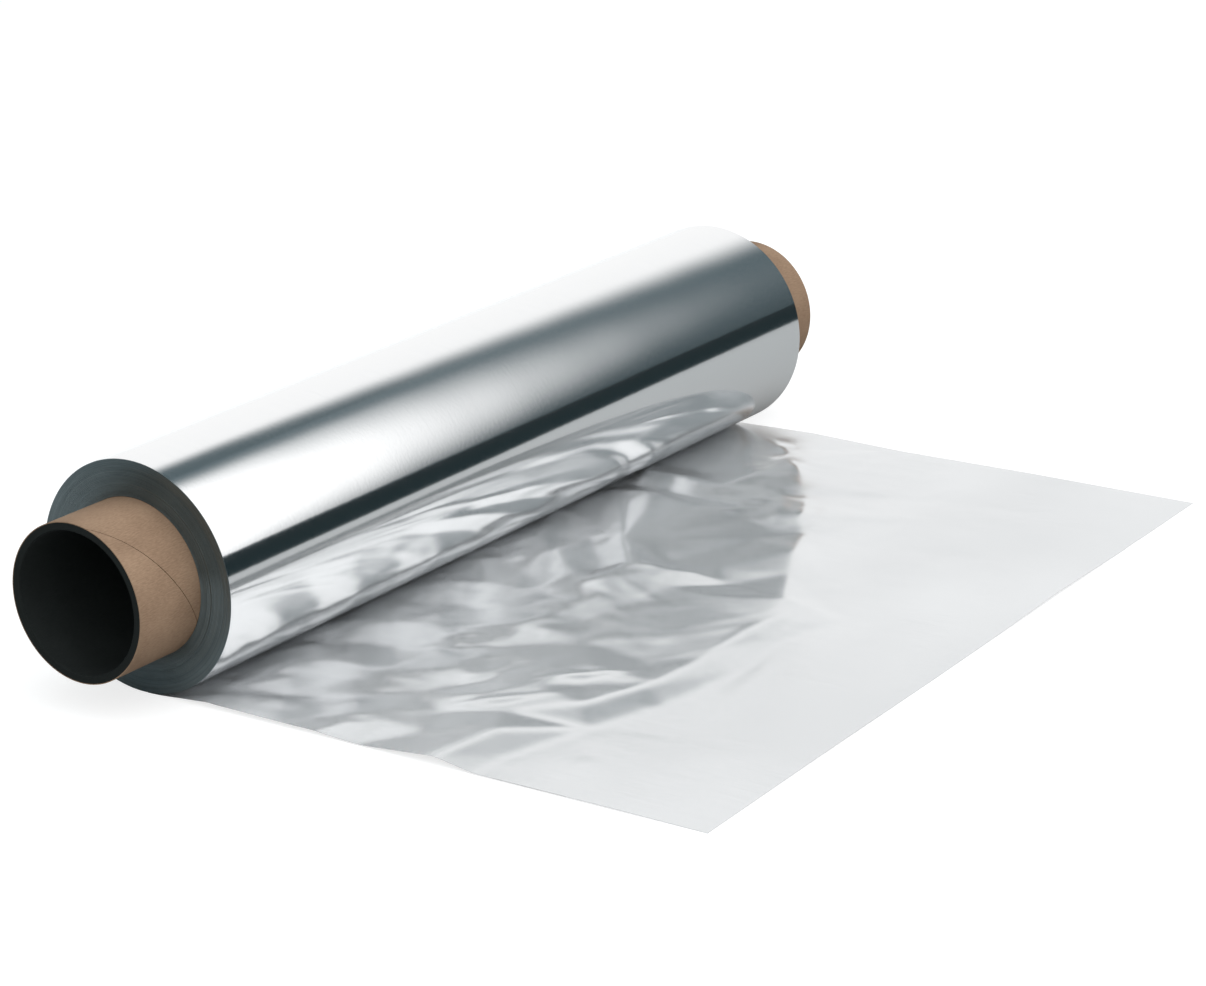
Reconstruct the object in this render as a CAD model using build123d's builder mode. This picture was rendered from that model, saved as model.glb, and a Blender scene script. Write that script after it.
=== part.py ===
"""A roll of aluminium foil on a spiral-wound cardboard core, with a length of foil pulled out.

The roll lies along X with the middle of its bore at the origin. The foil leaves the roll at its
lowest line and lies on the table towards -Y. The pulled-out length, the turns on the roll and the
edge that was torn off are one strip, so they are one solid. Sizes are in millimetres.
"""

from build123d import *

import os
from math import floor

# The strip of foil and the roll that it makes.
foil_width = 300.0
roll_diameter = 69.0
foil_thickness = 0.3

# The cardboard core.
core_outer_diameter = 47.0
core_wall = 2.5
core_overhang = 25.0
core_edge_break = 0.3

# The butt seam of the core's outer ply: a helix that starts above the bore, a little before the end.
seam_pitch = 92.0
seam_width = 0.6
seam_depth = 0.35
seam_lead = 3.8

# The turns that show on the ends of the roll, as one spiral groove in each end.
turn_pitch = 1.5
turn_groove_width = 0.5
turn_groove_depth = 0.3
turn_margin = 0.7

# The pulled-out length, from the line where it leaves the roll to its cut edge.
leader_length_left = 190.0
leader_length_right = 182.0
nip_length = 8.0

# The folds in the pulled-out length: each is a crease with a flat facet on either side.
fold_height = 2.4
fold_reach = 30.0

# Each row is one fold: where its crease starts and ends, across the strip's width from its middle
# and along its length from the roll, how far along the crease is highest, and how high. The last
# two are the reach of its facets to the left and the right, as one looks along the crease.
fold_shares = (
    (-0.52, 0.11, -0.37, 0.09, 0.25, 0.80, 0.30, 0.35),
    (-0.49, 0.33, -0.20, 0.39, 0.40, 0.25, 0.90, 0.70),
    (-0.49, 0.52, -0.36, 0.58, 0.60, 0.35, 0.80, 0.20),
    (-0.40, 0.55, -0.20, 0.70, 0.55, 0.50, 0.90, 0.25),
    (-0.39, 0.40, -0.35, 0.53, 0.50, 0.30, 0.20, 0.45),
    (-0.35, 0.45, -0.23, 0.65, 0.50, 0.40, 0.30, 0.40),
    (-0.30, 0.49, -0.22, 0.64, 0.60, 0.35, 0.55, 0.20),
    (-0.30, 0.13, -0.22, 0.34, 0.50, 0.30, 0.60, 0.50),
    (-0.20, 0.20, -0.03, 0.33, 0.50, 0.45, 0.80, 0.50),
    (-0.16, 0.64, -0.03, 0.68, 0.50, 0.30, 0.60, 0.30),
    (-0.15, 0.36, -0.05, 0.45, 0.40, 0.45, 0.40, 0.60),
    (-0.02, 0.42, -0.01, 0.67, 0.45, 0.60, 0.20, 0.50),
    (-0.02, 0.16, 0.10, 0.30, 0.50, 0.35, 0.60, 0.60),
    (0.22, 0.14, 0.11, 0.57, 0.55, 1.00, 0.30, 0.95),
    (0.18, 0.43, 0.31, 0.31, 0.50, 0.40, 0.15, 0.20),
    (0.20, 0.47, 0.32, 0.36, 0.50, 0.35, 0.15, 0.15),
    (0.25, 0.12, 0.30, 0.30, 0.50, 0.45, 0.45, 0.35),
    (0.35, 0.35, 0.40, 0.25, 0.50, 0.35, 0.15, 0.25),
    (0.41, 0.26, 0.46, 0.16, 0.50, 0.35, 0.15, 0.25),
    (0.39, 0.07, 0.52, 0.11, 0.70, 0.55, 0.25, 0.30),
    (0.32, 0.33, 0.17, 0.99, 0.35, 0.35, 0.40, 0.50),
    (0.09, 0.57, 0.10, 0.91, 0.40, 0.15, 0.35, 0.35),
    (-0.44, 0.62, -0.37, 0.81, 0.40, 0.20, 0.35, 0.30),
)

roll_radius = roll_diameter / 2
core_outer_radius = core_outer_diameter / 2
core_bore_radius = core_outer_radius - core_wall
core_length = foil_width + 2 * core_overhang
half_width = foil_width / 2
table = -roll_radius


def turns_groove(side):
    """Outline of the spiral groove in one end of the roll: two walls of half circles."""
    half_pitch = turn_pitch / 2
    start_radius = core_outer_radius + turn_margin
    room = roll_radius - turn_margin - turn_groove_width - start_radius
    half_turns = floor(room / half_pitch)
    with BuildSketch(Plane.YZ.offset(side * half_width)) as groove:
        with BuildLine():
            walls = []
            for wall_radius in (start_radius, start_radius + turn_groove_width):
                wall = []
                for turn in range(half_turns):
                    is_upper = turn % 2 == 0
                    centre = (0, 0) if is_upper else (half_pitch, 0)
                    radius = wall_radius + turn * half_pitch
                    wall.append(CenterArc(centre, radius, 0 if is_upper else 180, 180))
                walls.append(wall)
            Line(walls[0][0] @ 0, walls[1][0] @ 0)
            Line(walls[0][-1] @ 1, walls[1][-1] @ 1)
        make_face()
    return groove.sketch


def leader_place(across_share, along_share):
    """A place on the table under the pulled-out foil, whose cut edge is a little skewed."""
    skew = leader_length_right - leader_length_left
    length = leader_length_left + (across_share + 1 / 2) * skew
    return Vector(across_share * foil_width, -along_share * length)


def fold_sections(fold, base):
    """The kite that one fold covers at a height, and its highest point, as sections of a loft."""
    x0, s0, x1, s1, peak_share, height_share, left_share, right_share = fold
    start, end = leader_place(x0, s0), leader_place(x1, s1)
    peak = start + (end - start) * peak_share
    left = (end - start).normalized().rotate(Axis.Z, 90) * fold_reach
    with BuildSketch(Plane.XY.offset(base)) as kite:
        with BuildLine():
            Polyline(start, peak - left * right_share, end, peak + left * left_share, close=True)
        make_face()
    return kite.sketch, Vertex(peak.X, peak.Y, base + height_share * fold_height)


os.makedirs("parts", exist_ok=True)

# The cardboard core: a tube with the seam wound round it.
with BuildPart() as core:
    with BuildSketch(Plane.YZ.offset(-core_length / 2)):
        Circle(core_outer_radius)
        Circle(core_bore_radius, mode=Mode.SUBTRACT)
    extrude(amount=core_length)
    chamfer(core.edges().filter_by(GeomType.CIRCLE), core_edge_break)
    seam_start = (-core_length / 2 - seam_lead, 0, 0)
    with BuildLine():
        seam = Helix(seam_pitch, core_length + 2 * seam_lead, core_outer_radius, seam_start, (1, 0, 0))
    with BuildSketch(Plane(seam @ 0, x_dir=(0, 0, 1), z_dir=seam % 0)):
        Rectangle(2 * seam_depth, seam_width)
    sweep(path=seam, is_frenet=True, mode=Mode.SUBTRACT)

core.part.label = "cardboard_core"
export_step(core.part, "parts/cardboard_core.step")

# The pulled-out length: a thin flat sheet, raised in a tent over each fold and hollow under it.
with BuildSketch(Plane.XY.offset(table)) as leader_outline:
    with BuildLine():
        nip_line = Line((half_width, -nip_length), (-half_width, -nip_length))
        cut_edge = Line(leader_place(-1 / 2, 1), leader_place(1 / 2, 1))
        Line(nip_line @ 1, cut_edge @ 0)
        Line(cut_edge @ 1, nip_line @ 0)
    make_face()

with BuildPart() as leader:
    extrude(leader_outline.sketch, amount=foil_thickness)
    for fold in fold_shares:
        loft(fold_sections(fold, table + foil_thickness), ruled=True)
    for fold in fold_shares:
        loft(fold_sections(fold, table), ruled=True, mode=Mode.SUBTRACT)
    extrude(leader_outline.sketch, amount=roll_radius, mode=Mode.INTERSECT)

# The foil: the wound turns, the nip where the strip leaves them, and the pulled-out length.
with BuildPart() as foil:
    with BuildSketch(Plane.YZ.offset(-half_width)):
        Circle(roll_radius)
        with Locations((0, table)):
            Rectangle(nip_length, foil_thickness, align=(Align.MAX, Align.MIN))
        Circle(core_outer_radius, mode=Mode.SUBTRACT)
    extrude(amount=foil_width)
    for side in (-1, 1):
        extrude(turns_groove(side), amount=-side * turn_groove_depth, mode=Mode.SUBTRACT)
    add(leader.part)

foil.part.label = "foil"
export_step(foil.part, "parts/foil.step")
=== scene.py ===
"""Looks of a roll of aluminium foil with a length pulled out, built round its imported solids.

The roll lies along X with the middle of its bore at the origin, and the pulled-out length lies on
the table towards -Y. Every piece is in metres, in the frame of the solids.
"""

import logging
import math
from dataclasses import dataclass, field
from enum import Enum
from typing import Callable, Optional, Sequence

import bpy
import numpy as np
from mathutils import Matrix, Vector
from mathutils.geometry import delaunay_2d_cdt


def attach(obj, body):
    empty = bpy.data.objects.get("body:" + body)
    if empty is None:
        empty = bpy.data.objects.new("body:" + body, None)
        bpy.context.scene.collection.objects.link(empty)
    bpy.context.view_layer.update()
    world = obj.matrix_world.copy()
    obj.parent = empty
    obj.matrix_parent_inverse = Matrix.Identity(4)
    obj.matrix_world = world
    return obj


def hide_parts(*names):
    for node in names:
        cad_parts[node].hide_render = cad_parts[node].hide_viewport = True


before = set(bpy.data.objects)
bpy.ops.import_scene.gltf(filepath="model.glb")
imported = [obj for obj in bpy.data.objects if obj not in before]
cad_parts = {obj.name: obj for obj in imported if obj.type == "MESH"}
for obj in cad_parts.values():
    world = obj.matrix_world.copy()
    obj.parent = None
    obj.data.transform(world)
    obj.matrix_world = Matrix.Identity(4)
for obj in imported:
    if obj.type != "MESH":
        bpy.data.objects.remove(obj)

LOG = logging.getLogger("foil_roll")
BODY = "root"
ROLL_NODE = "foil"
CORE_NODE = "cardboard_core"
MM = 0.001
FULL_TURN = 2 * math.pi
SURFACE_UV = "surface_uv"
WHITE = (1.0, 1.0, 1.0)
# Nearly all of a noise lies between these two values.
NOISE_LOW, NOISE_HIGH = 0.25, 0.75
# A face is part of an end where its normal runs along the roll by more than this.
END_NORMAL = 0.5
# Points of one row of a grid have the same place to this many decimals.
ROW_DIGITS = 6
# Points that lie closer than this are one point.
SAME_POINT = MM / 1000

Piece = bpy.types.Object
Socket = bpy.types.NodeSocket
Pair = tuple[float, float]
Triple = tuple[float, float, float]
Colour = Triple
Paint = Colour | Socket
Value = float | Socket
Profile = Sequence[Pair]
Shades = Callable[["MaterialGraph", Socket, Socket], Socket]


class Axis(Enum):
    """A direction of the frame, named for what lies along it."""

    ROLL = Vector((1, 0, 0))
    UP = Vector((0, 0, 1))


class Grid(Enum):
    """Which way the coordinates of a surface run, in metres."""

    ALONG_ROLL = "u along the roll, v round it"
    FROM_AXIS = "u away from the axis, v round it"


class Graph:
    """A tree of nodes, with short calls to add and join them."""

    def __init__(self, tree: bpy.types.NodeTree) -> None:
        """Keep the tree that the nodes go into."""
        self.tree = tree

    def add(self, kind: str, **settings: object) -> bpy.types.Node:
        """Add a node and set its options and its input values.

        Args:
            kind: The node's type without its ShaderNode prefix.
            **settings: Options of the node, or values of its inputs by name.

        Returns:
            The new node.
        """
        node = self.tree.nodes.new("ShaderNode" + kind)
        for key, value in settings.items():
            if hasattr(node, key):
                setattr(node, key, value)
            else:
                node.inputs[key.replace("_", " ")].default_value = value
        return node

    def join(self, out: Socket, into: Socket) -> None:
        """Link one socket to another."""
        self.tree.links.new(out, into)

    def parts(self, place: Socket) -> bpy.types.NodeOutputs:
        """Split a place into its X, Y and Z.

        Args:
            place: The place.

        Returns:
            The sockets of its three parts, by name.
        """
        split = self.add("SeparateXYZ")
        self.join(place, split.inputs["Vector"])
        return split.outputs

    def stretched(self, place: Socket, scale: Sequence[float]) -> Socket:
        """Stretch a place.

        Args:
            place: The place, in metres.
            scale: How many pattern units go into a metre, each way.

        Returns:
            The socket of the stretched place.
        """
        mapping = self.add("Mapping")
        mapping.inputs["Scale"].default_value = scale
        self.join(place, mapping.inputs["Vector"])
        return mapping.outputs["Vector"]

    def surface_place(self, scale: Sequence[float]) -> Socket:
        """Give the place on the piece's own surface map, stretched by a scale each way."""
        return self.stretched(self.add("UVMap", uv_map=SURFACE_UV).outputs["UV"], scale)

    def object_place(self, scale: Sequence[float]) -> Socket:
        """Give the place in the frame, stretched by a scale each way."""
        return self.stretched(self.add("TexCoord").outputs["Object"], scale)

    def maths(self, operation: str, *values: Value) -> Socket:
        """Reckon with values.

        Args:
            operation: What is done with them.
            *values: Numbers, or the sockets that give them.

        Returns:
            The socket of the outcome.
        """
        node = self.add("Math", operation=operation)
        for value, into in zip(values, node.inputs):
            if isinstance(value, Socket):
                self.join(value, into)
            else:
                into.default_value = value
        return node.outputs["Value"]

    def noise(self, place: Socket, detail: float = 2.0) -> Socket:
        """Give a noise of unit size over a place.

        Args:
            place: Where the noise is read.
            detail: How many finer layers it has.

        Returns:
            The socket of its value, about 0.5 on average.
        """
        noise = self.add("TexNoise", Scale=1.0, Detail=detail, Roughness=0.5)
        self.join(place, noise.inputs["Vector"])
        return noise.outputs["Fac"]

    def remap(
        self,
        value: Socket,
        start: float,
        end: float,
        low: float = 0.0,
        high: float = 1.0,
        **settings: object,
    ) -> Socket:
        """Turn a value from one range into another, and hold it at the new one's ends.

        Args:
            value: The value to turn.
            start: Where the old range starts.
            end: Where the old range ends.
            low: Where the new range starts.
            high: Where the new range ends.
            **settings: Options of the node.

        Returns:
            The socket of the turned value.
        """
        ranges = {"From_Min": start, "From_Max": end, "To_Min": low, "To_Max": high}
        node = self.add("MapRange", **ranges, **settings)
        self.join(value, node.inputs["Value"])
        return node.outputs["Result"]

    def span(self, value: Socket, low: float, high: float) -> Socket:
        """Stretch a noise from its usual values over a range."""
        return self.remap(value, NOISE_LOW, NOISE_HIGH, low, high)

    def ramp(self, value: Socket, start: float, end: float) -> Socket:
        """Turn a value softly from 0 to 1 between two limits."""
        return self.remap(value, start, end, interpolation_type="SMOOTHSTEP")

    def blend(self, value: Socket, low: Paint, high: Paint) -> Socket:
        """Mix two colours by a value.

        Args:
            value: The share of the second colour.
            low: The first colour, or the socket that gives it.
            high: The second colour, or the socket that gives it.

        Returns:
            The socket of the mixed colour.
        """
        mix = self.tree.nodes.new("ShaderNodeMix")
        mix.data_type = "RGBA"
        factor, *_ = [socket for socket in mix.inputs if socket.name == "Factor"]
        first, second = [s for s in mix.inputs if s.type == "RGBA"]
        for paint, into in ((low, first), (high, second)):
            if isinstance(paint, tuple):
                into.default_value = (*paint, 1)
            else:
                self.join(paint, into)
        self.join(value, factor)
        return next(s for s in mix.outputs if s.type == "RGBA")

    def bump(self, height: Socket, distance: float, below: Optional[Socket] = None) -> Socket:
        """Raise the surface by a height, on top of another relief if one is given.

        Args:
            height: The relief, 0 to 1.
            distance: How high 1 stands, in metres.
            below: The normal of the relief under this one.

        Returns:
            The socket of the normal.
        """
        bump = self.add("Bump", Strength=1.0, Distance=distance)
        self.join(height, bump.inputs["Height"])
        if below is not None:
            self.join(below, bump.inputs["Normal"])
        return bump.outputs["Normal"]


class MaterialGraph(Graph):
    """The nodes of one material."""

    def __init__(self, name: str) -> None:
        """Start a material that holds one main shader.

        Args:
            name: What the material is called.
        """
        self.material = bpy.data.materials.new(name)
        self.material.use_nodes = True
        super().__init__(self.material.node_tree)
        self.shader = self.tree.nodes["Principled BSDF"]
        self.output = self.tree.nodes["Material Output"]

    def set(self, **values: object) -> None:
        """Set inputs of the main shader by name, with _ for a space."""
        for key, value in values.items():
            self.shader.inputs[key.replace("_", " ")].default_value = value


@dataclass(frozen=True)
class RolledFoil:
    """Foil as it comes off the mill: bright, with fine lines along the strip."""

    name: str
    colour: Colour
    shade: Colour
    roughness_low: float
    roughness_high: float
    stretch: float
    line_scale: Triple
    line_height: float
    grain_scale: Triple
    grain_height: float
    metal: float = 1.0
    haze: float = 0.0
    haze_scale: Triple = (8.0, 12.0, 1.0)
    specular: float = 0.3
    line_detail: float = 3.0

    def make(self) -> bpy.types.Material:
        """Build the material.

        Returns:
            The material, whose lines follow the piece's surface map.
        """
        graph = MaterialGraph(self.name)
        graph.set(Metallic=self.metal, Anisotropic=self.stretch, Specular_IOR_Level=self.specular)
        lines = graph.noise(graph.surface_place(self.line_scale), self.line_detail)
        grain = graph.noise(graph.surface_place(self.grain_scale))
        hazed = graph.span(graph.noise(graph.surface_place(self.haze_scale)), -self.haze, self.haze)
        share = graph.maths("ADD", lines, hazed)
        graph.join(graph.blend(share, self.shade, self.colour), graph.shader.inputs["Base Color"])
        rough = graph.span(grain, self.roughness_low, self.roughness_high)
        graph.join(rough, graph.shader.inputs["Roughness"])
        lined = graph.bump(lines, self.line_height)
        graph.join(graph.bump(grain, self.grain_height, lined), graph.shader.inputs["Normal"])
        tangent = graph.add("Tangent", direction_type="UV_MAP", uv_map=SURFACE_UV)
        graph.join(tangent.outputs["Tangent"], graph.shader.inputs["Tangent"])
        return graph.material


@dataclass(frozen=True)
class Board:
    """Wound board of the core: short fibres, small flecks and a soft mottle."""

    name: str
    colour: Colour
    shade: Colour
    roughness: float
    fibre_scale: Triple = (600.0, 2600.0, 600.0)
    mottle_scale: Triple = (90.0, 90.0, 90.0)
    fibre_height: float = 0.00006
    fibre_detail: float = 4.0
    mottle_detail: float = 3.0
    fibre_share: float = 0.55
    mottle_share: float = 0.45
    specular: float = 0.25

    def make(self) -> bpy.types.Material:
        """Build the material.

        Returns:
            The material, whose fibres follow the piece's surface map.
        """
        graph = MaterialGraph(self.name)
        graph.set(Roughness=self.roughness, Specular_IOR_Level=self.specular)
        fibres = graph.noise(graph.surface_place(self.fibre_scale), self.fibre_detail)
        mottle = graph.noise(graph.object_place(self.mottle_scale), self.mottle_detail)
        flecked = graph.span(fibres, 0.0, self.fibre_share)
        share = graph.maths("ADD", flecked, graph.span(mottle, 0.0, self.mottle_share))
        graph.join(graph.blend(share, self.shade, self.colour), graph.shader.inputs["Base Color"])
        graph.join(graph.bump(fibres, self.fibre_height), graph.shader.inputs["Normal"])
        return graph.material


BRIGHT_FOIL = RolledFoil(
    name="bright_foil",
    colour=(0.945, 0.95, 0.955),
    shade=(0.90, 0.91, 0.915),
    roughness_low=0.095,
    roughness_high=0.115,
    stretch=0.70,
    line_scale=(1500.0, 40.0, 1.0),
    line_height=0.0000006,
    grain_scale=(900.0, 700.0, 1.0),
    grain_height=0.000005,
)
SATIN_FOIL = RolledFoil(
    name="satin_foil",
    colour=(0.805, 0.812, 0.82),
    shade=(0.735, 0.743, 0.752),
    roughness_low=0.19,
    roughness_high=0.24,
    stretch=0.3,
    line_scale=(1500.0, 40.0, 1.0),
    line_height=0.000001,
    grain_scale=(500.0, 500.0, 1.0),
    grain_height=0.000003,
    metal=0.78,
    haze=0.9,
)
# Painted shade: the ends' foil is given a dark blue-grey colour, far below the bright foil's, for
# the shade on the edges of the turns.
SHADED_FOIL_EDGES = RolledFoil(
    name="foil_edges_painted_shade",
    colour=(0.315, 0.375, 0.392),
    shade=(0.165, 0.202, 0.213),
    roughness_low=0.36,
    roughness_high=0.46,
    stretch=0.85,
    line_scale=(3000.0, 6.0, 1.0),
    line_height=0.000012,
    grain_scale=(700.0, 120.0, 1.0),
    grain_height=0.000003,
)
KRAFT = Board(
    name="kraft_board",
    colour=(0.375, 0.248, 0.160),
    shade=(0.205, 0.124, 0.076),
    roughness=0.82,
)
# Painted shade: the core's end rim is given a near-black colour, darker than the bore's, for the
# shade on the rim, which faces away from the light.
SHADED_RIM_BOARD = Board(
    name="rim_board_painted_shade",
    colour=(0.014, 0.0175, 0.0165),
    shade=(0.008, 0.0105, 0.0095),
    roughness=0.9,
)
# Painted shade: the bore's board is given a near-black colour for the shade inside the tube.
SHADED_BORE_BOARD = Board(
    name="bore_board_painted_shade",
    colour=(0.021, 0.025, 0.024),
    shade=(0.012, 0.015, 0.014),
    roughness=0.88,
)


def stood(place: Vector | Triple, right: Vector, up: Vector, back: Vector) -> Matrix:
    """Stand an object at a place, with its own X, Y and Z along three directions."""
    return Matrix.Translation(place) @ Matrix((right, up, back)).transposed().to_4x4()


class Bench:
    """The modelling tools, each used on one new mesh at a time."""

    @staticmethod
    def clear() -> None:
        """Deselect every object."""
        bpy.ops.object.select_all(action="DESELECT")

    @staticmethod
    def pick(piece: Piece) -> None:
        """Select one object alone and make it the active one.

        Args:
            piece: The object.
        """
        Bench.clear()
        piece.select_set(True)
        bpy.context.view_layer.objects.active = piece

    @staticmethod
    def finish(piece: Piece, name: str) -> Piece:
        """Put a finished mesh's place into its vertices, and name it.

        Args:
            piece: The object that was modelled.
            name: Its name.

        Returns:
            The same object, at the origin, unturned and unscaled.
        """
        Bench.pick(piece)
        bpy.ops.object.transform_apply(location=True, rotation=True, scale=True)
        piece.name = name
        piece.data.name = name
        return piece

    @staticmethod
    def point(x: float, y: float, z: float) -> Piece:
        """Start a mesh as one selected point, in edit mode.

        Args:
            x: Place along the roll.
            y: Place across the table.
            z: Height.

        Returns:
            The new object.
        """
        Bench.clear()
        bpy.ops.mesh.primitive_plane_add(size=MM, location=(x, y, z))
        piece = bpy.context.active_object
        bpy.ops.object.mode_set(mode="EDIT")
        bpy.ops.mesh.select_all(action="SELECT")
        bpy.ops.mesh.merge(type="CENTER")
        return piece

    @staticmethod
    def turned(name: str, profile: Profile, steps: int) -> Piece:
        """Draw a profile point by point and spin it round the roll's axis.

        Args:
            name: What the piece is called.
            profile: Points of the profile, along the roll and away from its axis.
            steps: How many faces go round.

        Returns:
            The turned piece, with its faces outwards.
        """
        (x, radius), rest = profile[0], profile[1:]
        piece = Bench.point(x, 0, radius)
        for next_x, next_radius in rest:
            move = (next_x - x, 0, next_radius - radius)
            bpy.ops.mesh.extrude_region_move(TRANSFORM_OT_translate={"value": move})
            x, radius = next_x, next_radius
        Bench.close_wire(piece)
        bpy.ops.mesh.spin(steps=steps, angle=FULL_TURN, center=(0, 0, 0), axis=Axis.ROLL.value)
        bpy.ops.mesh.select_all(action="SELECT")
        bpy.ops.mesh.remove_doubles(threshold=SAME_POINT)
        bpy.ops.mesh.normals_make_consistent(inside=False)
        bpy.ops.object.mode_set(mode="OBJECT")
        return Bench.finish(piece, name)

    @staticmethod
    def close_wire(piece: Piece) -> None:
        """Join the two loose ends of a wire that is being edited.

        Args:
            piece: The object in edit mode.
        """
        bpy.ops.mesh.select_all(action="DESELECT")
        bpy.ops.object.mode_set(mode="OBJECT")
        piece.data.vertices[0].select = True
        piece.data.vertices[len(piece.data.vertices) - 1].select = True
        bpy.ops.object.mode_set(mode="EDIT")
        bpy.ops.mesh.edge_face_add()
        bpy.ops.mesh.select_all(action="SELECT")

    @staticmethod
    def read(items: bpy.types.bpy_prop_collection, key: str, width: int, kind: type) -> np.ndarray:
        """Read one value of every vertex, corner or face of a mesh.

        Args:
            items: The vertices, corners or faces.
            key: What the value is called.
            width: How many numbers it has.
            kind: The type of each number.

        Returns:
            One number for each item, or one row of them where a value has several.
        """
        flat = np.zeros(len(items) * width, kind)
        items.foreach_get(key, flat)
        return flat if width == 1 else flat.reshape(-1, width)

    @staticmethod
    def points_of(piece: Piece) -> np.ndarray:
        """Give the place of each vertex of a mesh, one row each."""
        return Bench.read(piece.data.vertices, "co", 3, float)

    @staticmethod
    def set_points(piece: Piece, points: np.ndarray) -> None:
        """Move a mesh's vertices to new places."""
        piece.data.vertices.foreach_set("co", points.astype(np.float32).ravel())
        piece.data.update()

    @staticmethod
    def corners_of(piece: Piece) -> np.ndarray:
        """Give the number of the vertex that each corner of each face stands on."""
        return Bench.read(piece.data.loops, "vertex_index", 1, int)

    @staticmethod
    def map_surface(piece: Piece, grid: Grid, faces: Optional[np.ndarray] = None) -> None:
        """Lay coordinates in metres over a piece that was turned round the roll's axis.

        Args:
            piece: The turned piece.
            grid: Which way the coordinates run.
            faces: Whether each face gets them, or None for all.
        """
        mesh = piece.data
        layer = mesh.uv_layers.get(SURFACE_UV) or mesh.uv_layers.new(name=SURFACE_UV)
        layer.active = True
        points = Bench.points_of(piece)
        corner_points = Bench.corners_of(piece)
        starts = Bench.read(mesh.polygons, "loop_start", 1, int)
        totals = Bench.read(mesh.polygons, "loop_total", 1, int)
        face_of_corner = np.repeat(np.arange(len(totals)), totals)
        angle = np.arctan2(points[:, 2], points[:, 1])[corner_points]
        first = angle[starts][face_of_corner]
        angle = first + (angle - first + math.pi) % FULL_TURN - math.pi
        radius = np.hypot(points[:, 1], points[:, 2])[corner_points]
        if grid is Grid.ALONG_ROLL:
            u, v = points[corner_points, 0], angle * radius.max()
        else:
            u, v = radius, angle * radius.mean()
        found = Bench.read(layer.data, "uv", 2, float)
        chosen = np.ones(len(u), bool) if faces is None else faces[face_of_corner]
        found[chosen] = np.column_stack([u, v])[chosen]
        layer.data.foreach_set("uv", found.ravel())

    @staticmethod
    def face_middles(piece: Piece) -> tuple[np.ndarray, np.ndarray]:
        """Give the middle and the normal of each face of a mesh, one row each."""
        faces = piece.data.polygons
        return Bench.read(faces, "center", 3, float), Bench.read(faces, "normal", 3, float)

    @staticmethod
    def apply(piece: Piece, kind: str, **settings: object) -> None:
        """Add a modifier to a piece and apply it.

        Args:
            piece: The object to change.
            kind: The modifier's type.
            **settings: The modifier's settings.
        """
        Bench.pick(piece)
        modifier = piece.modifiers.new(kind.lower(), kind)
        for key, value in settings.items():
            setattr(modifier, key, value)
        bpy.ops.object.modifier_apply(modifier=modifier.name)

    @staticmethod
    def smooth(piece: Piece, degrees: float) -> None:
        """Shade a piece smooth, with a crease wherever it bends by more than so many degrees."""
        Bench.pick(piece)
        bpy.ops.object.shade_smooth_by_angle(angle=math.radians(degrees))


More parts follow.
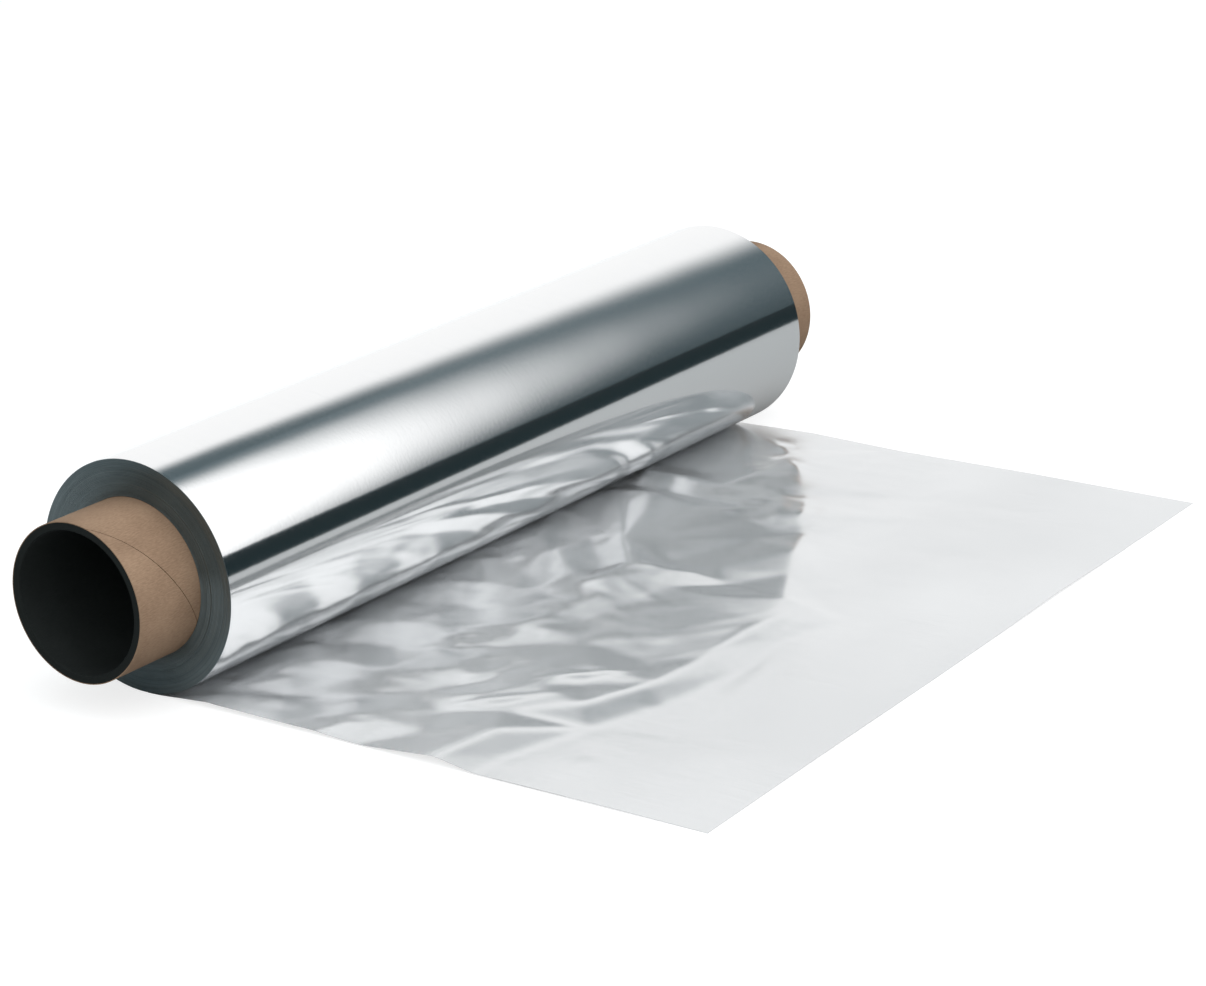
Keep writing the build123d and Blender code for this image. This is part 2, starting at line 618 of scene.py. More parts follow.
@dataclass
class WoundRoll:
    """The turns of foil on the core: a bright cylinder whose ends show the edge of every turn."""

    width: float = 300.0 * MM
    radius: float = 34.5 * MM
    bore_radius: float = 23.55 * MM
    steps: int = 288
    stations: int = 60
    ring_pitch: float = 0.42 * MM
    ring_depth: float = 0.22 * MM
    edge_round: float = 0.12 * MM
    drift_start: float = 0.5
    drift_step: float = 0.22
    drift_range: Pair = (0.1, 0.9)
    land_share: float = 0.72
    lip_share: float = 0.55
    wave_height: float = 0.03 * MM
    # Each wave's share of the height, its turns along and round the roll, and its shift.
    wave_shares: Sequence[Sequence[float]] = ((1.0, 31.0, 2.0, 0.0), (0.6, 57.0, -3.0, 1.0))
    crease_angle: float = 30.0
    seed: int = 11

    def end_rings(self, rng: np.random.Generator) -> Profile:
        """Draw one end of the roll from the bore outwards.

        Args:
            rng: Where the unevenness of the turns comes from.

        Returns:
            Points of how far in each turn lies and its distance from the axis.
        """
        count = int((self.radius - self.edge_round - self.bore_radius) / self.ring_pitch)
        rings = []
        drift = self.drift_start
        for ring in range(count):
            drift = float(np.clip(drift + rng.normal(0, self.drift_step), *self.drift_range))
            low = self.bore_radius + ring * self.ring_pitch
            inset = self.ring_depth * drift
            rings.append((inset, low))
            rings.append((inset * self.lip_share, low + self.land_share * self.ring_pitch))
        return rings

    def profile(self) -> Profile:
        """Draw the whole section of the roll, from one end's bore to the other's.

        Returns:
            Points along the roll and away from its axis.
        """
        rng = np.random.default_rng(self.seed)
        half = self.width / 2
        points = [(-half + inset, radius) for inset, radius in self.end_rings(rng)]
        points.append((-half, self.radius - self.edge_round))
        points.append((-half + self.edge_round, self.radius))
        for station in range(1, self.stations):
            points.append((-half + self.width * station / self.stations, self.radius))
        points.append((half - self.edge_round, self.radius))
        points.append((half, self.radius - self.edge_round))
        points += [(half - inset, radius) for inset, radius in reversed(self.end_rings(rng))]
        return points

    def ripple(self, piece: Piece) -> None:
        """Let the outer turn lie a little unevenly, never outside the roll's radius.

        Args:
            piece: The turned roll.
        """
        points = Bench.points_of(piece)
        radius = np.hypot(points[:, 1], points[:, 2])
        angle = np.arctan2(points[:, 2], points[:, 1])
        x = points[:, 0] / self.width
        wave = sum(a * np.sin(b * x + c * angle + d) for a, b, c, d in self.wave_shares)
        highest = sum(share for share, *_ in self.wave_shares)
        inwards = self.wave_height * (wave / (2 * highest) + 1 / 2)
        scale = 1 - np.where(radius > self.radius - self.edge_round / 2, inwards, 0) / radius
        points[:, 1:] *= scale[:, None]
        Bench.set_points(piece, points)

    def build(self) -> Piece:
        """Model the roll and dress it.

        Returns:
            The roll's piece.
        """
        piece = Bench.turned("wound_turns", self.profile(), self.steps)
        self.ripple(piece)
        middles, normals = Bench.face_middles(piece)
        outside = np.abs(normals[:, 0]) < END_NORMAL
        outside &= np.hypot(middles[:, 1], middles[:, 2]) > self.radius - self.edge_round
        Bench.map_surface(piece, Grid.ALONG_ROLL)
        Bench.map_surface(piece, Grid.FROM_AXIS, ~outside)
        piece.data.materials.append(BRIGHT_FOIL.make())
        # The ends take the dark foil, whose colour holds painted shade.
        piece.data.materials.append(SHADED_FOIL_EDGES.make())
        piece.data.polygons.foreach_set("material_index", np.where(outside, 0, 1).astype(np.int32))
        Bench.smooth(piece, self.crease_angle)
        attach(piece, BODY)
        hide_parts(ROLL_NODE)
        return piece


@dataclass
class PulledLength:
    """The pulled-out length of foil: a thin sheet on the table, creased where it was handled."""

    width: float = 300.0 * MM
    length_left: float = 190.0 * MM
    length_right: float = 182.0 * MM
    start: float = 1.5 * MM
    table: float = -34.5 * MM
    lie: float = 0.06 * MM
    thickness: float = 0.07 * MM
    cells_across: int = 246
    cells_along: int = 154
    fold_height: float = 3.0 * MM
    fold_reach: float = 30.0 * MM
    facet_softenings: int = 2
    junction_gap: float = 0.06 * MM
    facet_slack: float = 0.001
    crinkles: int = 300
    crinkle_half_width: float = 0.49
    crinkle_spread: Pair = (1.5, 2.8)
    crinkle_turns: Pair = (35.0, 120.0)
    crinkle_turn_spread: float = 22.0
    crinkle_reaches: Pair = (0.02, 0.08)
    crinkle_stretch: float = 1.6
    crinkle_heights: Pair = (0.02, 0.10)
    crinkle_fade: float = 1.15
    crinkle_peaks: Pair = (0.3, 0.7)
    crinkle_sides: Pair = (0.13, 0.30)
    crease_angle: float = 60.0
    seed: int = 5
    # Where the creases meet: across the width from its middle, along from the roll, and how high.
    junction_shares: Sequence[Triple] = (
        # Where the foil leaves the roll, its two sides and its cut edge.
        (-0.50, 0.02, 0.0), (-0.33, 0.02, 0.0), (-0.17, 0.02, 0.0), (0.00, 0.02, 0.0),
        (0.17, 0.02, 0.0), (0.33, 0.02, 0.0), (0.50, 0.02, 0.0), (-0.50, 0.12, 0.5),
        (-0.50, 0.26, 0.4), (-0.50, 0.41, 0.1), (-0.50, 0.54, 0.8), (-0.50, 0.61, 0.1),
        (-0.50, 0.84, 0.1), (-0.50, 1.00, 0.0), (0.50, 0.09, 0.1), (0.50, 0.22, 0.3),
        (0.50, 0.41, 0.0), (0.50, 0.66, 0.1), (0.50, 1.00, 0.0), (-0.30, 1.00, 0.1),
        (-0.10, 1.00, 0.0), (0.07, 1.00, 0.1), (0.17, 1.00, 0.3), (0.33, 1.00, 0.0),
        # The large facet to the right of the middle, and the long narrow one beside it.
        (0.05, 0.37, 0.0), (0.11, 0.29, 0.4), (0.17, 0.22, 0.7), (0.22, 0.15, 0.9),
        (0.21, 0.26, 0.6), (0.21, 0.36, 0.1), (0.16, 0.43, 0.1), (0.14, 0.53, 0.6),
        (0.08, 0.58, 0.5), (0.06, 0.45, 0.1),
        (-0.06, 0.43, 0.2), (-0.01, 0.45, 0.3), (-0.01, 0.54, 0.5), (0.01, 0.64, 0.7),
        (-0.05, 0.66, 0.7), (-0.05, 0.54, 0.4), (0.03, 0.52, 0.0), (0.03, 0.43, 0.7),
        (0.04, 0.66, 0.0), (0.10, 0.63, 0.1), (0.17, 0.55, 0.1), (0.19, 0.44, 0.1),
        # The slanting ridges from there to the roll.
        (0.02, 0.33, 0.9), (0.09, 0.24, 0.9), (0.16, 0.15, 0.9), (0.20, 0.08, 0.6),
        (0.00, 0.29, 0.0), (0.07, 0.20, 0.0), (0.14, 0.11, 0.0), (-0.05, 0.31, 0.8),
        (0.00, 0.20, 0.8), (0.06, 0.11, 0.7), (-0.08, 0.26, 0.0), (-0.03, 0.16, 0.0),
        # The light pleat beside the large facet, and the flat part from it to the right end.
        (0.24, 0.08, 0.1), (0.24, 0.15, 0.1), (0.24, 0.24, 0.0), (0.24, 0.33, 0.1),
        (0.28, 0.08, 0.7), (0.28, 0.16, 0.9), (0.28, 0.24, 0.6), (0.27, 0.31, 0.3),
        (0.32, 0.08, 0.1), (0.32, 0.16, 0.1), (0.31, 0.28, 0.3),
        (0.37, 0.08, 0.1), (0.43, 0.08, 0.1), (0.37, 0.17, 0.2), (0.44, 0.15, 0.2),
        (0.34, 0.26, 0.6), (0.38, 0.24, 0.2), (0.40, 0.27, 0.6), (0.44, 0.23, 0.1),
        (0.30, 0.38, 0.1), (0.24, 0.42, 0.5), (0.27, 0.37, 0.3), (0.20, 0.49, 0.1),
        # The shallow pleats along the left half of the roll.
        (-0.46, 0.10, 0.1), (-0.43, 0.23, 0.0), (-0.37, 0.12, 0.6), (-0.35, 0.25, 0.5),
        (-0.31, 0.11, 0.1), (-0.28, 0.23, 0.0), (-0.25, 0.11, 0.6), (-0.22, 0.24, 0.3),
        (-0.18, 0.12, 0.1), (-0.15, 0.24, 0.1), (-0.12, 0.13, 0.5), (-0.44, 0.35, 0.4),
        (-0.37, 0.37, 0.1), (-0.31, 0.35, 0.4), (-0.24, 0.35, 0.1), (-0.17, 0.35, 0.4),
        (-0.13, 0.40, 0.1), (-0.09, 0.35, 0.4), (-0.18, 0.45, 0.1), (-0.12, 0.48, 0.3),
        (-0.25, 0.45, 0.3), (-0.31, 0.42, 0.1),
        # The slanting creases that end them, and the long one past which the foil lies flat.
        (-0.45, 0.46, 0.3), (-0.40, 0.44, 0.1), (-0.35, 0.46, 0.5), (-0.37, 0.52, 0.4),
        (-0.31, 0.51, 0.7), (-0.28, 0.57, 0.4), (-0.24, 0.53, 0.6), (-0.20, 0.60, 0.4),
        (-0.13, 0.58, 0.5), (-0.42, 0.56, 0.9), (-0.33, 0.61, 0.9), (-0.25, 0.66, 0.9),
        (-0.17, 0.67, 0.8), (-0.10, 0.66, 0.7), (-0.45, 0.62, 0.1), (-0.36, 0.66, 0.1),
        (-0.27, 0.71, 0.1), (-0.17, 0.73, 0.1), (-0.08, 0.72, 0.1),
        # The nearly flat part towards the cut edge, with its two long soft folds.
        (-0.33, 0.78, 0.0), (-0.40, 0.84, 0.2), (-0.23, 0.84, 0.0),
        (-0.10, 0.80, 0.1), (0.00, 0.76, 0.0), (0.09, 0.73, 0.2), (0.10, 0.89, 0.2),
        (-0.17, 0.91, 0.1), (0.33, 0.37, 0.4), (0.29, 0.60, 0.4), (0.22, 0.84, 0.4),
        (0.20, 0.62, 0.0), (0.37, 0.60, 0.0), (0.38, 0.82, 0.1),
    )
    # Each long wrinkle: its two ends, where it is highest between them, how high it is there,
    # and how far it reaches to each side.
    wrinkle_shares: Sequence[Sequence[float]] = (
        (0.20, 0.43, 0.31, 0.34, 0.50, 0.12, 0.14, 0.16),
        (0.20, 0.48, 0.32, 0.38, 0.50, 0.15, 0.14, 0.16),
        (0.35, 0.35, 0.40, 0.25, 0.50, 0.25, 0.12, 0.18),
        (0.41, 0.26, 0.46, 0.16, 0.50, 0.30, 0.12, 0.20),
        (-0.39, 0.42, -0.30, 0.58, 0.50, 0.20, 0.10, 0.12),
        (-0.30, 0.47, -0.22, 0.62, 0.50, 0.20, 0.10, 0.12),
        (-0.16, 0.66, 0.02, 0.68, 0.40, 0.15, 0.15, 0.20),
        (-0.30, 0.80, -0.10, 0.74, 0.50, 0.12, 0.20, 0.20),
    )
    # Ellipses that stay free of crinkles: the middle, and the half width across and along.
    smooth_shares: Sequence[Sequence[float]] = (
        (0.16, 0.34, 0.06, 0.12),
        (0.11, 0.47, 0.06, 0.13),
        (-0.02, 0.57, 0.035, 0.11),
        (0.42, 0.10, 0.08, 0.07),
    )

    def place(self, across: np.ndarray, along: np.ndarray) -> tuple[np.ndarray, np.ndarray]:
        """Give places on the table by their shares of the strip.

        Args:
            across: Shares of the width, from the strip's middle.
            along: Shares of the length, from the roll.

        Returns:
            The places along X and along Y.
        """
        length = self.length_left + (across + 0.5) * (self.length_right - self.length_left)
        return across * self.width, -along * length

    def facet_heights(self, x: np.ndarray, y: np.ndarray) -> np.ndarray:
        """Give the height of the flat facets that lie between the creases' junctions.

        Args:
            x: Places along the roll.
            y: Places across the table.

        Returns:
            The height at each place.
        """
        across, along, share = np.array(self.junction_shares).T
        spots = [Vector(spot) for spot in zip(*self.place(across, along))]
        corners, _, facets, sources, *_ = delaunay_2d_cdt(spots, [], [], 0, self.junction_gap)
        tops = [share[source[0]] * self.fold_height for source in sources]
        height = np.zeros_like(x)
        for facet in facets:
            (ax, ay), (bx, by), (cx, cy) = (corners[corner] for corner in facet)
            whole = (bx - ax) * (cy - ay) - (cx - ax) * (by - ay)
            to_b = ((x - ax) * (cy - ay) - (cx - ax) * (y - ay)) / whole
            to_c = ((bx - ax) * (y - ay) - (x - ax) * (by - ay)) / whole
            to_a = 1 - to_b - to_c
            inside = np.minimum(np.minimum(to_a, to_b), to_c) > -self.facet_slack
            a, b, c = (tops[corner] for corner in facet)
            height[inside] = (a * to_a + b * to_b + c * to_c)[inside]
        return height

    def tent(self, x: np.ndarray, y: np.ndarray, fold: Sequence[float]) -> np.ndarray:
        """Give how much one wrinkle adds to the height.

        Args:
            x: Places along the roll.
            y: Places across the table.
            fold: Its two ends, where it is highest, how high, and its two reaches, in shares.

        Returns:
            The height that it adds at each place.
        """
        x0, s0, x1, s1, peak_share, height_share, left_share, right_share = fold
        start = np.array(self.place(np.array(x0), np.array(s0)))
        end = np.array(self.place(np.array(x1), np.array(s1)))
        span = end - start
        length = np.hypot(*span)
        from_start = (x - start[0]) * span[0] + (y - start[1]) * span[1]
        t = from_start / length**2
        aside = ((y - start[1]) * span[0] - (x - start[0]) * span[1]) / length
        rise = np.minimum(t / peak_share, (1 - t) / (1 - peak_share))
        left, right = left_share * self.fold_reach, right_share * self.fold_reach
        fall = np.where(aside > 0, aside / left, -aside / right)
        return np.maximum(0, rise - fall) * height_share * self.fold_height

    def crinkle_folds(self) -> Sequence[Sequence[float]]:
        """Draw the small creases that the hands left, mostly near the roll.

        Returns:
            Rows of the same kind as the wrinkles.
        """
        rng = np.random.default_rng(self.seed)
        rows = []
        for _ in range(self.crinkles):
            across = rng.uniform(-self.crinkle_half_width, self.crinkle_half_width)
            along = rng.beta(*self.crinkle_spread)
            degrees = rng.choice(self.crinkle_turns) + rng.normal(0, self.crinkle_turn_spread)
            turn = math.radians(degrees)
            reach = rng.uniform(*self.crinkle_reaches)
            dx, ds = reach * math.cos(turn), self.crinkle_stretch * reach * math.sin(turn)
            height = rng.uniform(*self.crinkle_heights) * (self.crinkle_fade - along)
            peak = rng.uniform(*self.crinkle_peaks)
            row = (across - dx, along - ds, across + dx, along + ds, peak, height)
            reaches = (rng.uniform(*self.crinkle_sides), rng.uniform(*self.crinkle_sides))
            if not any(
                math.hypot((across - x) / wide, (along - y) / long) < 1
                for x, y, wide, long in self.smooth_shares
            ):
                rows.append(row + reaches)
        return rows

    def heights(self, x: np.ndarray, y: np.ndarray) -> np.ndarray:
        """Give the height of the foil over the table.

        Args:
            x: Places along the roll, one grid.
            y: Places across the table, one grid.

        Returns:
            The height at each place.
        """
        folded = self.facet_heights(x, y)
        for _ in range(self.facet_softenings):
            folded = self.softened(folded)
        for fold in (*self.wrinkle_shares, *self.crinkle_folds()):
            folded += self.tent(x, y, fold)
        return self.softened(folded)

    @staticmethod
    def softened(height: np.ndarray) -> np.ndarray:
        """Even out a grid of heights with its neighbours, once each way.

        Args:
            height: The grid of heights.

        Returns:
            The evened grid.
        """
        padded = np.pad(height, 1, mode="edge")
        height = (padded[:-2, 1:-1] + 2 * padded[1:-1, 1:-1] + padded[2:, 1:-1]) / 4
        padded = np.pad(height, 1, mode="edge")
        return (padded[1:-1, :-2] + 2 * padded[1:-1, 1:-1] + padded[1:-1, 2:]) / 4

    def build(self) -> Piece:
        """Model the sheet and dress it.

        Returns:
            The sheet's piece.
        """
        Bench.clear()
        bpy.ops.mesh.primitive_grid_add(
            x_subdivisions=self.cells_across, y_subdivisions=self.cells_along, size=1
        )
        piece = bpy.context.active_object
        points = Bench.points_of(piece)
        first = self.start / self.length_left
        across, along = points[:, 0], first + (0.5 - points[:, 1]) * (1 - first)
        x, y = self.place(across, along)
        order = np.lexsort(np.round(points[:, :2], ROW_DIGITS).T)
        shape = (self.cells_along + 1, self.cells_across + 1)
        height = np.zeros_like(x)
        height[order] = self.heights(x[order].reshape(shape), y[order].reshape(shape)).ravel()
        z = self.table + self.lie + height
        Bench.set_points(piece, np.column_stack([x, y, z]))
        layer = piece.data.uv_layers.active
        layer.name = SURFACE_UV
        layer.data.foreach_set("uv", np.column_stack([x, y])[Bench.corners_of(piece)].ravel())
        Bench.apply(piece, "SOLIDIFY", thickness=self.thickness, offset=0.0)
        Bench.finish(piece, "pulled_length")
        piece.data.materials.append(SATIN_FOIL.make())
        Bench.smooth(piece, self.crease_angle)
        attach(piece, BODY)
        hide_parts(ROLL_NODE)
        return piece


@dataclass
class SpiralCore:
    """The board core: a plain inner tube with one outer ply wound round it in a butt spiral."""

    length: float = 350.0 * MM
    outer_radius: float = 23.5 * MM
    bore_radius: float = 21.0 * MM
    ply: float = 0.25 * MM
    short: float = 0.03 * MM
    edge_round: float = 0.25 * MM
    seam_pitch: float = 92.0 * MM
    seam_width: float = 0.28 * MM
    seam_lead: float = 3.8 * MM
    spare_turns: int = 2
    bore_shares: Triple = (0.25, 0.5, 0.75)
    crease_angle: float = 40.0
    steps: int = 144
    kraft: bpy.types.Material = field(default_factory=KRAFT.make)

    def tube_profile(self) -> Profile:
        """Draw the section of the inner tube.

        Returns:
            Points along the core and away from its axis.
        """
        half = self.length / 2 - self.short
        low, high, cut = self.bore_radius, self.outer_radius - self.ply, self.edge_round
        return [
            (-half, low + cut),
            (-half, high),
            (half, high),
            (half, low + cut),
            (half - cut, low),
            *[(half - cut - self.length * share, low) for share in self.bore_shares],
            (-half + cut, low),
        ]

    def build_tube(self) -> Piece:
        """Model the inner tube and dress it.

        Returns:
            The tube's piece.
        """
        piece = Bench.turned("core_tube", self.tube_profile(), self.steps)
        Bench.map_surface(piece, Grid.ALONG_ROLL)
        middles, normals = Bench.face_middles(piece)
        outside = np.hypot(middles[:, 1], middles[:, 2]) > self.outer_radius - 2 * self.ply
        on_painted_shade_rim = np.abs(normals[:, 0]) > END_NORMAL
        # The bore and the rim take the near-black boards, which hold painted shade; only the
        # outside is kraft.
        finishes = (SHADED_BORE_BOARD.make(), self.kraft, SHADED_RIM_BOARD.make())
        for finish in finishes:
            piece.data.materials.append(finish)
        dress = np.where(on_painted_shade_rim, len(finishes) - 1, outside).astype(np.int32)
        piece.data.polygons.foreach_set("material_index", dress)
        Bench.smooth(piece, self.crease_angle)
        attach(piece, BODY)
        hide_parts(CORE_NODE)
        return piece

    def build_ply(self) -> Piece:
        """Model the outer ply as a strip wound in a spiral, and dress it.

        Returns:
            The ply's piece.
        """
        half = self.length / 2
        turns = math.ceil(self.length / self.seam_pitch) + self.spare_turns
        first = -half - self.seam_lead - self.seam_pitch + self.seam_width / 2
        strip = self.seam_pitch - self.seam_width
        middle = self.outer_radius - self.ply / 2
        piece = Bench.point(first, 0, middle)
        bpy.ops.mesh.extrude_region_move(TRANSFORM_OT_translate={"value": (strip, 0, 0)})
        bpy.ops.object.mode_set(mode="OBJECT")
        Bench.finish(piece, "core_ply")
        Bench.apply(
            piece,
            "SCREW",
            axis="X",
            angle=FULL_TURN,
            screw_offset=self.seam_pitch,
            iterations=turns,
            steps=self.steps,
            render_steps=self.steps,
            use_merge_vertices=False,
        )
        self.trim(piece, half - self.short)
        Bench.apply(piece, "SOLIDIFY", thickness=self.ply, offset=0.0, use_even_offset=True)
        Bench.map_surface(piece, Grid.ALONG_ROLL)
        piece.data.materials.append(self.kraft)
        Bench.smooth(piece, self.crease_angle)
        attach(piece, BODY)
        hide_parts(CORE_NODE)
        return piece

    def trim(self, piece: Piece, half: float) -> None:
        """Cut a long wound strip to the core's length.

        Args:
            piece: The strip.
            half: Half of the core's length.
        """
        Bench.pick(piece)
        bpy.ops.object.mode_set(mode="EDIT")
        for side in (-1, 1):
            bpy.ops.mesh.select_all(action="SELECT")
            bpy.ops.mesh.bisect(
                plane_co=(side * half, 0, 0),
                plane_no=(side, 0, 0),
                clear_outer=True,
                threshold=SAME_POINT,
            )
        bpy.ops.object.mode_set(mode="OBJECT")


@dataclass
class Studio:
    """The table, the soft light, the cards that the foil mirrors, and the camera."""

    table: float = -34.5 * MM
    floor_size: float = 12.0
    sky_strength: float = 1.0
    fill_strength: float = 0.45
    fill_colour: Colour = (0.90, 1.01, 1.05)
    floor_grey: float = 0.42
    floor_roughness: float = 0.9
    floor_specular: float = 0.1
    floor_lift: float = 0.74
    floor_lift_near: float = 0.15
    floor_lift_far: float = 0.30
    key_distance: float = 0.838
    key_angle: float = 117.0
    key_low_angle: float = 78.5
    key_high_angle: float = 167.4
    key_fade: float = 0.20
    key_left: float = -2.0
    key_right: float = 0.9
    panel_right_head: float = 1.22
    panel_right_foot: float = 1.8
    panel_turns_head: float = 0.59
    panel_turns_foot: float = 1.07
    panel_turn: float = 0.50
    panel_falloff: float = 2.0
    key_radiance: float = 1.25
    mirror_bounces: int = 12
    card_place: float = -0.33
    card_left: float = -0.2
    card_right: float = 1.3
    card_height: float = 0.105
    side_place: float = -0.32
    side_front: float = -0.4
    side_back: float = 0.6
    side_head: float = 0.5
    card_low: Colour = (0.014, 0.026, 0.030)
    card_high: Colour = (0.018, 0.027, 0.030)
    side_low: Colour = (0.115, 0.15, 0.165)
    side_high: Colour = (0.07, 0.095, 0.11)
    panel_high: Colour = (0.115, 0.155, 0.172)
    panel_low: Colour = (0.05, 0.072, 0.082)
    canopy_high: Colour = (0.085, 0.118, 0.132)
    canopy_low: Colour = (0.052, 0.073, 0.082)
    canopy_cells: tuple[int, int] = (36, 24)
    canopy_radius: float = 1.6
    canopy_near: float = -1.0
    canopy_far: float = 5.0
    canopy_places: tuple[float, ...] = (1.0, 1.5, 2.4, 5.0)
    canopy_starts: tuple[float, ...] = (51.0, 53.0, 62.0, 78.0)
    canopy_end: float = 183.0
    canopy_widens: Pair = (0.417, 0.567)
    canopy_edges: Pair = (0.11, 0.33)
    canopy_turns_low: float = 0.4
    lens: float = 107.309
    sensor: float = 36.0
    clip_near: float = 0.01
    clip_far: float = 100.0
    camera_place: Triple = (-0.8542, -0.6503, 0.3386)
    camera_azimuth: float = -55.16
    camera_elevation: float = 18.471
    camera_roll: float = -1.419

    def camera(self) -> None:
        """Stand the camera where the photograph was taken from."""
        azimuth, elevation = math.radians(self.camera_azimuth), math.radians(self.camera_elevation)
        roll = math.radians(self.camera_roll)
        back = Vector(
            (
                math.sin(azimuth) * math.cos(elevation),
                -math.cos(azimuth) * math.cos(elevation),
                math.sin(elevation),
            )
        )
        level = (-back).cross(Axis.UP.value).normalized()
        upright = back.cross(level)
        right = math.cos(roll) * level + math.sin(roll) * upright
        up = -math.sin(roll) * level + math.cos(roll) * upright
        data = bpy.data.cameras.new("camera")
        data.lens = self.lens
        data.sensor_width = self.sensor
        data.sensor_fit = "HORIZONTAL"
        data.clip_start = self.clip_near
        data.clip_end = self.clip_far
        camera = bpy.data.objects.new("camera", data)
        camera.matrix_world = stood(self.camera_place, right, up, back)
        bpy.context.scene.collection.objects.link(camera)
        bpy.context.scene.camera = camera

    def world(self) -> None:
        """Light the scene from all round, and show plain white behind it."""
        world = bpy.data.worlds.new("studio")
        bpy.context.scene.world = world
        world.use_nodes = True
        graph = Graph(world.node_tree)
        background = graph.tree.nodes["Background"]
        rays = graph.add("LightPath").outputs
        seen = graph.maths("MAXIMUM", rays["Is Camera Ray"], rays["Is Glossy Ray"])
        shown = graph.maths("MAXIMUM", seen, rays["Is Transmission Ray"])
        graph.join(graph.blend(shown, self.fill_colour, WHITE), background.inputs["Color"])
        strength = graph.remap(shown, 0.0, 1.0, self.fill_strength, self.sky_strength)
        graph.join(strength, background.inputs["Strength"])

    def floor(self) -> None:
        """Lay the table that the object stands on, plain white to the camera, with painted light on
        its part behind the roll where the foil mirrors it.
        """
        Bench.clear()
        bpy.ops.mesh.primitive_plane_add(size=self.floor_size, location=(0, 0, self.table))
        floor = bpy.context.active_object
        floor.name = "table"
        graph = MaterialGraph("table_white")
        graph.set(Base_Color=(*(self.floor_grey,) * 3, 1), Emission_Color=(*WHITE, 1))
        graph.set(Roughness=self.floor_roughness, Specular_IOR_Level=self.floor_specular)
        rays = graph.add("LightPath").outputs
        across = graph.parts(graph.add("TexCoord").outputs["Object"])["Y"]
        # Painted light: in glossy rays the table beyond the roll glows with the lift, and in front
        # of it does not.
        far = graph.ramp(across, self.floor_lift_near, self.floor_lift_far)
        behind = graph.maths("MULTIPLY", far, rays["Is Glossy Ray"])
        seen = graph.maths("MAXIMUM", rays["Is Camera Ray"], rays["Is Transmission Ray"])
        lift = graph.maths("MULTIPLY", graph.maths("MAXIMUM", seen, behind), self.floor_lift)
        graph.join(lift, graph.shader.inputs["Emission Strength"])
        floor.data.materials.append(graph.material)

    def key(self) -> None:
        """Hang the large soft light in front of and over the roll."""
        angle = math.radians(self.key_angle)
        out = Vector((0, math.cos(angle), math.sin(angle)))
        onward = Vector((0, -math.sin(angle), math.cos(angle)))
        low = self.key_distance * math.tan(math.radians(self.key_low_angle - self.key_angle))
        high = self.key_distance * math.tan(math.radians(self.key_high_angle - self.key_angle))
        light = bpy.data.lights.new("soft_light", "AREA")
        light.shape = "RECTANGLE"
        light.size = self.key_right - self.key_left
        light.size_y = high - low
        light.energy = self.key_radiance * math.pi * light.size * light.size_y
        lamp = bpy.data.objects.new("soft_light", light)
        middle = out * self.key_distance + onward * (low + high) / 2
        middle.x = (self.key_left + self.key_right) / 2
        side = Axis.ROLL.value
        lamp.matrix_world = stood(middle, side, out.cross(side), out)
        lamp.visible_camera = False
        lamp.visible_glossy = False
        bpy.context.scene.collection.objects.link(lamp)
        foot, head = ((out * self.key_distance + onward * reach).yz for reach in (high, low))
        left, right, right_foot = self.key_left, self.panel_right_head, self.panel_right_foot
        corners = ((left, *foot), (right_foot, *foot), (right, *head), (left, *head))
        self.panel("soft_panel", corners, self.key_shades)

    def key_shades(self, graph: MaterialGraph, along: Socket, rise: Socket) -> Socket:
        """Shade the soft light's panel: white, fading to grey at its head and to the right.

        Args:
            graph: The panel's material.
            along: Places along the roll, in metres.
            rise: Shares of the panel's height, from its foot.

        Returns:
            The socket of the colour.
        """
        foot = self.panel_turns_foot
        slanted = graph.maths("MULTIPLY_ADD", rise, foot - self.panel_turns_head, along)
        right = graph.remap(slanted, foot, foot + self.panel_turn, 1.0, 0.0)
        faded = graph.maths("POWER", right, self.panel_falloff)
        lit = graph.maths("MULTIPLY", faded, graph.ramp(rise, 1, 1 - self.key_fade))
        grey = graph.blend(rise, self.panel_low, self.panel_high)
        return graph.blend(lit, grey, (self.key_radiance,) * 3)

    def panel(self, name: str, corners: Sequence[Sequence[float]], shades: Shades) -> None:
        """Stand a flat panel that only the foil mirrors.

        Args:
            name: What the panel is called.
            corners: Its four corners in turn, from the foot.
            shades: Gives the colour that the foil sees, from the place on the panel.
        """
        Bench.clear()
        bpy.ops.mesh.primitive_plane_add(size=1)
        panel = bpy.context.active_object
        panel.name = name
        Bench.set_points(panel, np.array([corners[0], corners[1], corners[3], corners[2]]))
        graph = MaterialGraph(name)
        place = graph.parts(graph.add("TexCoord").outputs["Object"])
        rise = graph.remap(place["Z"], corners[0][2], corners[2][2])
        self.mirrored_only(panel, graph, shades(graph, place["X"], rise))

    def mirrored_only(self, panel: Piece, graph: MaterialGraph, colour: Socket) -> None:
        """Let nothing but the foil's reflections see a panel.

        Args:
            panel: The panel.
            graph: Its material.
            colour: The socket of what the foil sees in it.
        """
        emission = graph.add("Emission", Strength=1.0)
        graph.join(colour, emission.inputs["Color"])
        graph.join(emission.outputs["Emission"], graph.output.inputs["Surface"])
        panel.data.materials.append(graph.material)
        for kind in ("camera", "diffuse", "shadow", "transmission", "volume_scatter"):
            setattr(panel, "visible_" + kind, False)

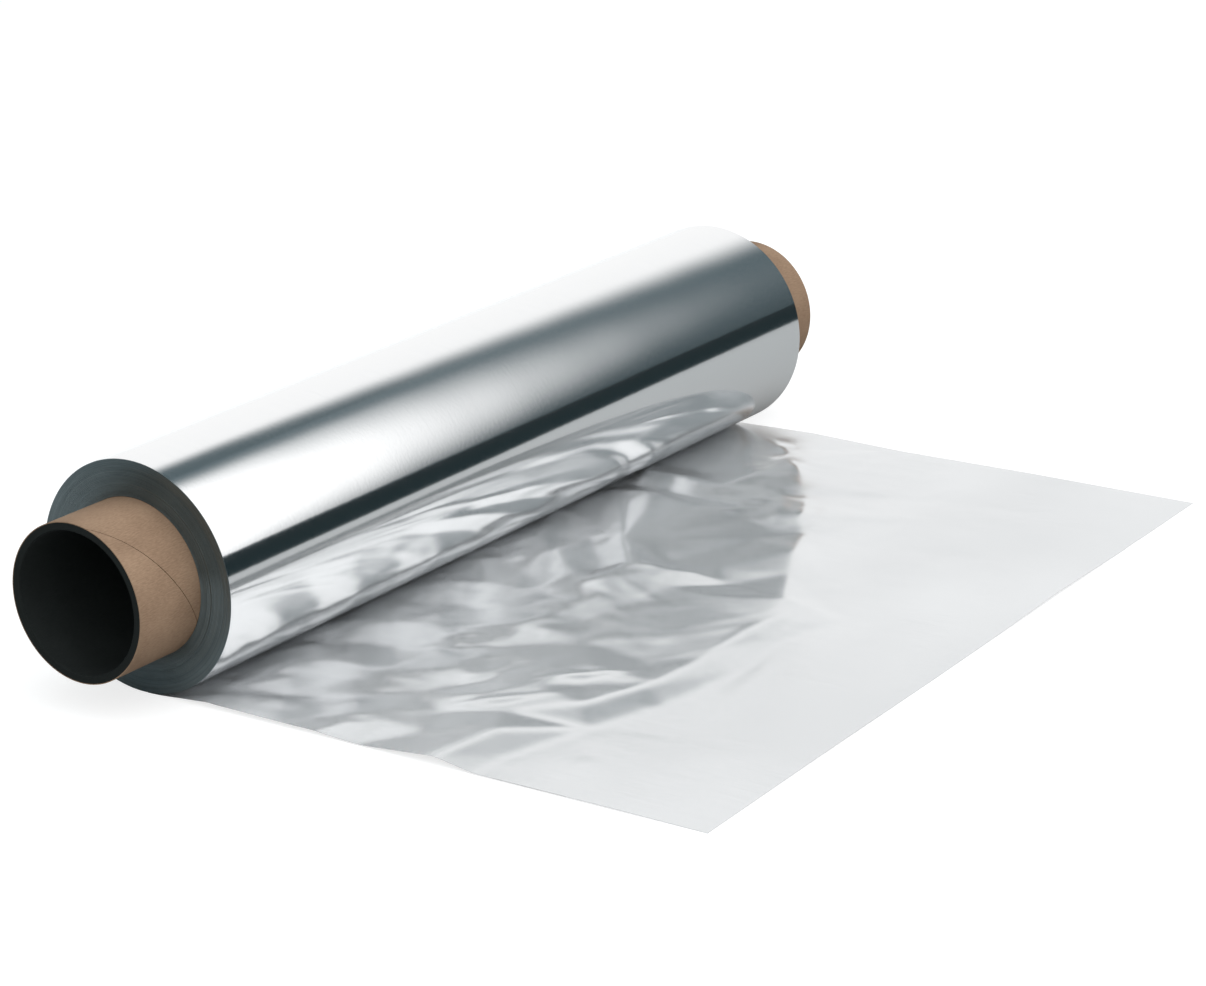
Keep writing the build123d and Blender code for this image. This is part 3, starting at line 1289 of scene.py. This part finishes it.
    def cards(self) -> None:
        """Stand the dark card in front of the roll and the grey one beside its near end."""
        foot, head, y = self.table, self.table + self.card_height, self.card_place
        left, right = self.card_left, self.card_right
        self.panel(
            "dark_card",
            ((left, y, foot), (right, y, foot), (right, y, head), (left, y, head)),
            lambda graph, along, rise: graph.blend(rise, self.card_low, self.card_high),
        )
        x, front, back, head = self.side_place, self.side_front, self.side_back, self.side_head
        self.panel(
            "side_card",
            ((x, front, foot), (x, back, foot), (x, back, head), (x, front, head)),
            lambda graph, along, rise: graph.blend(rise, self.side_low, self.side_high),
        )

    def canopy(self) -> None:
        """Curve the grey canopy round the front of the roll, behind the soft light."""
        across, round_it = self.canopy_cells
        radius, near, far = self.canopy_radius, self.canopy_near, self.canopy_far
        Bench.clear()
        bpy.ops.mesh.primitive_grid_add(x_subdivisions=across, y_subdivisions=round_it, size=1)
        canopy = bpy.context.active_object
        canopy.name = "grey_canopy"
        shares = Bench.points_of(canopy)[:, :2] + 1 / 2
        x = near + shares[:, 0] * (far - near)
        first = np.interp(x, self.canopy_places, self.canopy_starts)
        angle = np.radians(first + shares[:, 1] * (self.canopy_end - first))
        y, z = radius * np.cos(angle), radius * np.sin(angle)
        Bench.set_points(canopy, np.column_stack([x, y, z]))
        graph = MaterialGraph("canopy_grey")
        place = graph.parts(graph.add("UVMap").outputs["UV"])
        edge = graph.remap(place["X"], *self.canopy_widens, *self.canopy_edges)
        share = graph.maths("DIVIDE", place["Y"], edge)
        lower = graph.ramp(place["Y"], self.canopy_turns_low, 1.0)
        grey = graph.blend(lower, self.canopy_high, self.canopy_low)
        shown = graph.blend(graph.ramp(share, 0.0, 1.0), WHITE, grey)
        self.mirrored_only(canopy, graph, shown)

    def build(self) -> None:
        """Set up everything that isn't part of the object."""
        self.camera()
        self.world()
        self.floor()
        self.key()
        self.cards()
        self.canopy()
        bpy.context.scene.cycles.glossy_bounces = self.mirror_bounces
        bpy.context.scene.view_settings.view_transform = "Standard"


def main() -> None:
    """Build the studio and every piece in order, and log how many faces each piece has."""
    logging.basicConfig(level=logging.INFO, format="%(name)s: %(message)s")
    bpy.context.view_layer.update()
    Studio().build()
    core = SpiralCore()
    pieces = [WoundRoll().build(), PulledLength().build(), core.build_tube(), core.build_ply()]
    for piece in pieces:
        LOG.info("%s has %d faces", piece.name, len(piece.data.polygons))


if __name__ == "__main__":
    main()
